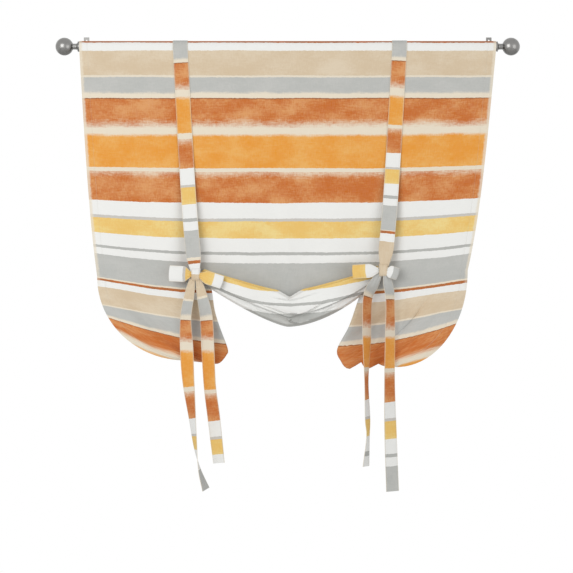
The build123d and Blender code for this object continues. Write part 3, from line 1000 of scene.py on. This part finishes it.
def build_cloth(name, layers, materials):
    """A mesh object of closed sheets, in metres."""
    verts, faces, uvs, slots = [], [], [], []
    base = 0
    for layer in layers:
        n, m = layer.front.shape[:2]
        front = np.arange(n * m).reshape(n, m) + base
        back = front + n * m
        base += 2 * n * m
        verts += [layer.front.reshape(-1, 3), layer.back.reshape(-1, 3)]
        corners = layer.uv.reshape(-1, 4, 2)
        faces += [cell_corners(front).reshape(-1, 4), cell_corners(back).reshape(-1, 4)[:, ::-1]]
        uvs += [corners, corners[:, ::-1]]
        slots += [layer.material[0].reshape(-1), layer.material[1].reshape(-1)]
        for edge, c, d in ((np.s_[:, 0], 0, 3), (np.s_[:, -1], 1, 2), (np.s_[0], 0, 1), (np.s_[-1], 3, 2)):
            a, b, cells = front[edge], back[edge], layer.uv[edge]
            faces.append(np.stack([a[:-1], a[1:], b[1:], b[:-1]], axis=1))
            uvs.append(np.stack([cells[:, c], cells[:, d], cells[:, d], cells[:, c]], axis=1))
            slots.append(layer.material[0][edge])
    mesh = bpy.data.meshes.new(name)
    mesh.from_pydata((np.concatenate(verts) * MM).tolist(), [], np.concatenate(faces).tolist())
    for material in materials:
        mesh.materials.append(material)
    mesh.uv_layers.new(name="cloth").data.foreach_set("uv", (np.concatenate(uvs) * MM).reshape(-1))
    mesh.polygons.foreach_set("material_index", np.concatenate(slots).astype(np.int32))
    shell = bmesh.new()
    shell.from_mesh(mesh)
    bmesh.ops.recalc_face_normals(shell, faces=shell.faces)
    shell.to_mesh(mesh)
    shell.free()
    made = bpy.data.objects.new(name, mesh)
    bpy.context.scene.collection.objects.link(made)
    bpy.ops.object.select_all(action="DESELECT")
    made.select_set(True)
    bpy.context.view_layer.objects.active = made
    bpy.ops.object.shade_smooth_by_angle(angle=SMOOTH_ANGLE)
    return made


def print_tints(settings):
    return {name: tuple(getattr(settings.print, name)) for name in PrintSettings.__annotations__}


class CURTAIN_OT_panel(bpy.types.Operator):
    """Make the gathered curtain panel with its pocket, hems, flaps and swag"""

    bl_idname = "curtain.panel"
    bl_label = "Curtain panel"

    def execute(self, context):
        settings = context.scene.curtain
        middle, plain, gathered, swags, flat, split = panel_arrays(settings)
        hanging = np.stack([np.broadcast_to(flat[:, None], plain.shape), plain], axis=2)
        hem = settings.cloth.hem_width / MM
        folded = (HALF_WIDTH - np.abs(flat) < hem).astype(float)[:, None, None] * np.ones((1, middle.shape[1], 1))
        folded[:, : POCKET_POINTS + 3] = 0
        half = settings.cloth.thickness / MM / 2
        layer = sheet_layer(middle, half, hanging, folded * settings.cloth.hem_extra / MM)
        swag_uv = np.stack([hanging[:, :, 0], mix(plain, gathered, swags[:, None])], axis=2)
        layer.uv[:, split:] = cell_corners(swag_uv)[:, split:]
        reverse = layer.material[1]
        reverse[:] = 1
        reverse[swags[:-1] > 0.5, split:] = 0
        sewn = (print_tints(settings), HALF_WIDTH, PANEL_MARGIN, hem - HEM_STITCH_INSET)
        face = cloth_material("striped_cloth", *sewn, top_seam=POCKET_DEPTH + pocket_r(settings))
        wrong = cloth_material("striped_cloth_reverse", *sewn, fade=REVERSE_FADE)
        panel = build_cloth("panel_cloth", [layer], (face, wrong))
        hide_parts("curtain_panel")
        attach(panel, "curtain_and_outer_tube")
        return {"FINISHED"}


def band_middle(marks, count, gather):
    """The middle surface of a band through marks of a point, half its width and its turn about the vertical."""
    path = smooth_through(marks, count)
    way = np.gradient(path[:, :3], axis=0)
    way /= np.linalg.norm(way, axis=1, keepdims=True)
    turn = np.radians(path[:, 4])
    across = np.stack([np.cos(turn), np.sin(turn), np.zeros(count)], axis=1)
    across -= way * np.sum(way * across, axis=1, keepdims=True)
    across /= np.linalg.norm(across, axis=1, keepdims=True)
    half = path[:, 3]
    spread = np.linspace(-1, 1, BAND_LINES)[:, None]
    ripple = gather * np.clip(1 - half / (TIE_WIDTH / 2), 0, 1) * np.cos(spread * math.pi * GATHER_WAVES)
    middle = path[:, :3] + across * (half * spread)[:, :, None]
    return middle + np.cross(way, across) * ripple[:, :, None], path


def band_uv(along, lines):
    """UV values of a band: across it in millimetres of the flat cloth, and along the stripes."""
    across = np.linspace(-TIE_WIDTH / 2, TIE_WIDTH / 2, lines)
    return np.stack(np.broadcast_arrays(across[:, None], along), axis=2)


def printed_along(run, printed):
    run_marks, places = zip(*printed)
    return np.interp(run, run_marks, places) + REPEAT_START


def knot_point(side, y):
    return np.array([side.sign * side.tie_out, y, -side.knot_drop + side.knot_lift])


def bow_loop(side, way, shape, root, y, printed, half_t):
    """A loop of the bow: a flattened ring of band that springs from the knot and widens away from it."""
    length, width, tilt = shape
    lines, count = LOOP_GRID
    spread = np.linspace(-1, 1, lines)[:, None]
    phi = np.linspace(0.0, 2 * math.pi, count)
    run = length / 2 * (1 - np.cos(phi))
    share = np.clip(run / (length * BOW_WAIST), 0, 1)
    swell = share * share * (3 - 2 * share)
    pucker = LOOP_PUCKER * (1 - swell) * np.cos(spread * math.pi * LOOP_PUCKER_WAVES) * np.sign(np.cos(phi / 2))
    depth = -BOW_DEPTH * LOOP_FLATNESS * np.sin(phi) * (1 - LOOP_THIN_SIDE * spread**2)
    x = way * (run - LOOP_ROUND_END * spread**2 * swell)
    y_in = depth + pucker + LOOP_CUP * spread**2 * np.sin(phi / 2)
    z = spread * mix(LOOP_ROOT_WIDTH, width, swell) / 2
    yaw, lean = -way * BOW_YAW, -way * math.radians(tilt)
    x, y_in = x * math.cos(yaw) - y_in * math.sin(yaw), x * math.sin(yaw) + y_in * math.cos(yaw)
    x, z = x * math.cos(lean) + z * math.sin(lean), z * math.cos(lean) - x * math.sin(lean)
    middle = np.stack([x, y_in, z], axis=2) + knot_point(side, y) + np.array([way * root, 0, 0])
    start, at, pace = printed
    out = root + run
    along = start + pace * (np.where(phi <= math.pi, out, 2 * (root + length) - out) - at)
    return sheet_layer(middle, half_t, band_uv(along, lines))


def knot_wrap(side, y, half_t):
    """The short piece of band that goes over the knot, pinched and pleated."""
    lines, count = KNOT_GRID
    spread = np.linspace(-1, 1, lines)[:, None]
    t = np.linspace(-1, 1, count)
    down = KNOT_HALF_HEIGHT * np.sin(t * math.pi / 2)
    bulge = KNOT_BULGE * np.cos(t * math.pi / 2) ** KNOT_BULGE_POWER
    pleated = KNOT_PLEAT_LEAST + (1 - KNOT_PLEAT_LEAST) * np.abs(t)
    pleat = KNOT_PLEAT * np.cos(spread * math.pi * KNOT_PLEAT_WAVES) * pleated
    x = spread * (KNOT_HALF_WIDTH + KNOT_FLARE * t**2)
    forward = KNOT_ROUND_SIDE * spread**4 - bulge + pleat + KNOT_SEAT
    middle = np.stack(np.broadcast_arrays(x, forward, -down), axis=2) + knot_point(side, y)
    along = printed_along(side.knot_drop + down - KNOT_PRINT_BACK, side.strap_print)
    return sheet_layer(middle, half_t, band_uv(along, lines))


class CURTAIN_OT_ties(bpy.types.Operator):
    """Make the two ties of each side, with the bow's loops, knot and hanging ends"""

    bl_idname = "curtain.ties"
    bl_label = "Ties and bows"

    def execute(self, context):
        settings = context.scene.curtain
        cloth = cloth_material("tie_cloth", print_tints(settings), TIE_WIDTH / 2, TIE_MARGIN, TIE_STITCH_INSET)
        for side in SIDES:
            for kind in (FRONT, BACK):
                self.tie(side, kind, settings, cloth)
        return {"FINISHED"}

    def strap_marks(self, side, kind, radius, y_end):
        """Over the rod from the pocket's top, and down to the knot."""
        marks = []
        for i in range(TOP_MARKS):
            a = math.pi / 2 * i / TOP_MARKS
            y = -ROD_PROJECTION + kind.way * (SEAM_GAP + radius * math.sin(a))
            marks.append((side.sign * side.tie_top_out, y, radius * math.cos(a), TIE_WIDTH / 2, 0.0))
        for i in range(DROP_MARKS + 1):
            f = i / DROP_MARKS
            out = mix(side.tie_top_out, side.tie_out, drawn_in(f))
            taut = ease((f - SLACK_SHARE) / (TAUT_SHARE - SLACK_SHARE))
            y = mix(-ROD_PROJECTION + kind.way * radius, y_end, taut)
            half = mix(TIE_WIDTH, kind.neck, ease((f - NECK_SHARE) / (1 - NECK_SHARE))) / 2
            marks.append((side.sign * out, y, -side.knot_drop * f, half, 0.0))
        return marks

    def under_marks(self, side, behind, y):
        """Under the gathered cloth, from behind it to the knot."""
        half = TIE_NECK_WIDTH / 2
        low = -side.knot_drop - UNDER_BUNCH
        way = (
            (behind, low + UNDER_BEND), (behind - UNDER_BEND, low), (y + UNDER_BEND, low), (y, low + UNDER_BEND),
            (y, -side.knot_drop + half),
        )
        return [(side.sign * side.tie_out, place, height, half, 0.0) for place, height in way]

    def tail(self, side, kind, tail, y, half_t):
        """A hanging end: it leaves the knot gathered, opens out and is cut off straight."""
        step, drop, turn = tail[0]
        aside = math.copysign(kind.aside, step)
        share, back, half, turned = TAIL_OPENING
        steps = [(aside, *TAIL_START, 0.0), (mix(aside, step, share), drop * share, back, half, turn * turned)]
        for step, drop, turn in tail:
            down = drop / tail[-1][1]
            half = mix(TIE_WIDTH, TAIL_END_WIDTH, down) / 2
            steps.append((step, drop, TAIL_LEAN * down - half * abs(math.sin(math.radians(turn))), half, turn))
        marks = [
            (side.sign * (side.tie_out + step), y + back, -side.knot_drop - drop, half, side.sign * turn)
            for step, drop, back, half, turn in steps
        ]
        middle, path = band_middle(marks, TAIL_POINTS, TAIL_GATHER)
        along = printed_along(run_along(path), getattr(side, f"{kind.name}_print"))
        return sheet_layer(middle, half_t, band_uv(along, BAND_LINES))

    def tie(self, side, kind, settings, cloth):
        """One tie: its strap, a loop of the bow and a hanging end, and on the front one the knot."""
        half_t = settings.cloth.thickness / MM / 2
        radius = pocket_r(settings) + half_t + CLOTH_GAP + half_t
        dent_y = front_y(settings) + TIE_DENT
        bunch_y = dent_y - BUNCH_FOLD_R - BUNCH_DEPTH - BUNCH_PLEAT_GAP / 2 - half_t - BUNCH_SLACK
        y = bunch_y - CLOTH_GAP - half_t
        if kind is FRONT:
            y = y - 2 * half_t - CLOTH_GAP
            marks = self.strap_marks(side, kind, radius, y)
        else:
            behind = dent_y + half_t + CLOTH_GAP + half_t
            marks = self.strap_marks(side, kind, radius, behind) + self.under_marks(side, behind, y)
        middle, path = band_middle(marks, kind.points, STRAP_GATHER)
        run = run_along(path)
        along = printed_along(run - radius * math.pi / 2, side.strap_print)
        layers = [sheet_layer(middle, half_t, band_uv(along, BAND_LINES))]
        tail, loop = getattr(side, f"{kind.name}_tail"), side.loops[kind.loop]
        way = side.sign * math.copysign(1, tail[0][0])
        layers.append(bow_loop(side, way, loop, kind.root, y - LOOP_FORWARD, side.loop_prints[kind.loop], half_t))
        if kind is FRONT:
            layers.append(knot_wrap(side, y, half_t))
        layers.append(self.tail(side, kind, tail, y - kind.forward, half_t))
        tie = build_cloth(f"{side.name}_{kind.name}_band", layers, (cloth,))
        node = f"{side.name}_{kind.name}_tie"
        length = round((run[-1] + 2 * loop[0] + KNOT_CLOTH + tail[-1][1]) / 10) * 10
        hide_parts(node)
        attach(tie, "curtain_and_outer_tube")


class CURTAIN_OT_metal(bpy.types.Operator):
    """Give the rod, the finials and the brackets their satin metal"""

    bl_idname = "curtain.metal"
    bl_label = "Rod, finials and brackets"

    def execute(self, context):
        metal = context.scene.curtain.metal
        tint = tuple(metal.colour)
        finish = {
            "finial": metal_material("turned_metal", tint, metal.roughness, TURNED_LINES),
            "tube": metal_material("drawn_tube_metal", tint, metal.roughness + 0.05, TURNED_LINES),
            "bracket": metal_material("pressed_metal", tint, metal.roughness + 0.1, PRESSED_GRAIN),
        }
        for name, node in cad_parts.items():
            for kind, material in finish.items():
                if name.endswith(kind):
                    if not node.material_slots:
                        node.data.materials.append(material)
                    for slot in node.material_slots:
                        slot.material = material
        return {"FINISHED"}


class CURTAIN_OT_stage(bpy.types.Operator):
    """Set up the floor, the soft light and the camera"""

    bl_idname = "curtain.stage"
    bl_label = "Stage"

    def execute(self, context):
        stage = context.scene.curtain.stage
        bpy.ops.object.select_all(action="DESELECT")
        bpy.ops.mesh.primitive_plane_add(size=FLOOR_SIZE, location=(0, 0, -stage.floor_drop))
        bpy.ops.object.transform_apply(location=True)
        floor = context.active_object
        floor.name = "floor"
        recipe = Recipe(bpy.data.materials.new("floor_finish"))
        mottled = recipe.noise(recipe.node("TexCoord").outputs["Object"], 3.0, 3.0)
        shade = recipe.mix(mottled * 0.1, tuple(stage.floor), tuple(c * 0.9 for c in stage.floor))
        floor.data.materials.append(recipe.finish({"Base Color": shade, "Roughness": 0.7}))
        self.world(context, stage)
        for name, (place, size) in LAMPS.items():
            self.lamp(context, f"{name}_lamp", place, size, getattr(stage, name))
        self.camera(context)
        context.scene.view_settings.view_transform = "Standard"
        return {"FINISHED"}

    def world(self, context, stage):
        """Soft light from all round, and plain white where it is seen, mirrored or seen through."""
        context.scene.world = bpy.data.worlds.new("soft_world")
        recipe = Recipe(context.scene.world)
        recipe.tree.nodes.clear()
        path = recipe.node("LightPath").outputs
        seen = recipe.maths("MAXIMUM", path["Is Camera Ray"], path["Is Glossy Ray"])
        seen = recipe.maths("MAXIMUM", seen, path["Is Transmission Ray"])
        strength = recipe.node("Mix", None, i0=seen, i2=stage.sky, i3=1.0).outputs[0]
        light = recipe.node("Background", None, Color=(1, 1, 1, 1), Strength=strength)
        recipe.node("OutputWorld", None, Surface=light.outputs[0])

    def lamp(self, context, name, place, size, power):
        data = bpy.data.lights.new(name, "AREA")
        data.size = size
        data.energy = power
        lamp = bpy.data.objects.new(name, data)
        context.scene.collection.objects.link(lamp)
        lamp.location = place
        lamp.rotation_euler = (Vector(LAMP_AIM) - Vector(place)).to_track_quat("-Z", "Y").to_euler()

    def camera(self, context):
        data = bpy.data.cameras.new("camera")
        data.lens = CAMERA_LENS
        data.sensor_width = CAMERA_SENSOR
        data.clip_end = SEEN_DEPTH
        camera = bpy.data.objects.new("camera", data)
        context.scene.collection.objects.link(camera)
        x, y, z = CAMERA_AIM
        camera.location = (x, y - SEEN_WIDTH * CAMERA_LENS / CAMERA_SENSOR, z)
        camera.rotation_euler = (math.radians(90), 0, 0)
        context.scene.camera = camera


OPERATORS = (CURTAIN_OT_panel, CURTAIN_OT_ties, CURTAIN_OT_metal, CURTAIN_OT_stage)


class CURTAIN_PT_pieces(bpy.types.Panel):
    """The curtain's pieces"""

    bl_idname = "CURTAIN_PT_pieces"
    bl_label = "Tie-up curtain"
    bl_space_type = "VIEW_3D"
    bl_region_type = "UI"
    bl_category = "Curtain"

    def draw(self, context):
        for operator in OPERATORS:
            self.layout.operator(operator.bl_idname)
        settings = context.scene.curtain
        for group in (settings.cloth, settings.print, settings.metal, settings.stage):
            box = self.layout.box()
            for name in group.__annotations__:
                box.prop(group, name)


CLASSES = (
    ClothSettings,
    PrintSettings,
    MetalSettings,
    StageSettings,
    CurtainSettings,
    *OPERATORS,
    CURTAIN_PT_pieces,
)


def register():
    for cls in CLASSES:
        bpy.utils.register_class(cls)
    bpy.types.Scene.curtain = PointerProperty(type=CurtainSettings)


def unregister():
    del bpy.types.Scene.curtain
    for cls in reversed(CLASSES):
        bpy.utils.unregister_class(cls)


def main():
    register()
    bpy.ops.curtain.stage()
    bpy.ops.curtain.panel()
    bpy.ops.curtain.ties()
    bpy.ops.curtain.metal()


if __name__ == "__main__":
    main()
